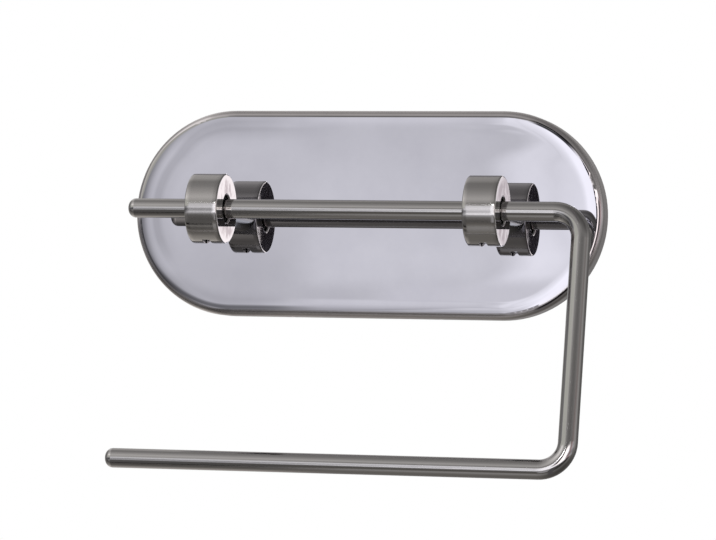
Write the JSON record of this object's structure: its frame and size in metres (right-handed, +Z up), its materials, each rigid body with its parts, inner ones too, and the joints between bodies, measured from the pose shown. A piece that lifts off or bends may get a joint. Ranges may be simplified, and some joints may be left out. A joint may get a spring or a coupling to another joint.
{
  "type": "toilet roll holder",
  "caption": "Wall-mounted toilet roll holder: a bent steel rod swings in collars on short posts, in front of a polished cover plate with round ends.",
  "frame": {"origin": "middle of the cover plate, on the wall, halfway between the two wall screw holes of the bracket", "axes": "+Y into the wall, so the room is on the -Y side; +X to the right as seen from the room, along the plate and the rod; +Z up"},
  "size_m": [0.1268, 0.0398, 0.0942],
  "materials": {
    "polished_plate": "mirror polished face, satin rim",
    "turned_collar": "turned, satin round the outside, bright on the end faces",
    "polished_post": "polished",
    "satin_rod": "satin, brushed along the rod",
    "black_nylon": "matte",
    "screw_steel": "plain steel",
    "zinc_sheet": "zinc plated",
    "zinc_fastener": "zinc plated"
  },
  "bodies": {
    "wall_part": {"cover_plate": "polished_plate", "hook_rail": "zinc_sheet", "wall_bracket": "zinc_sheet", "lock_screw_left": "screw_steel", "lock_screw_right": "screw_steel", "post_left": "polished_post", "post_right": "polished_post", "post_washer_left": "zinc_fastener", "post_washer_right": "zinc_fastener", "post_nut_left": "zinc_fastener", "post_nut_right": "zinc_fastener", "collar_left": "turned_collar", "collar_right": "turned_collar", "bush_left": "black_nylon", "bush_right": "black_nylon", "collar_screw_left": "screw_steel", "collar_screw_right": "screw_steel"},
    "roll_arm": {"roll_rod": "satin_rod"}
  },
  "joints": [
    {"name": "rod_swing", "type": "hinge", "parent": "wall_part", "child": "roll_arm", "pos_m": [0, -0.0241, 0], "axis": [-1, 0, 0], "range_deg": [-30, 187]}
  ]
}
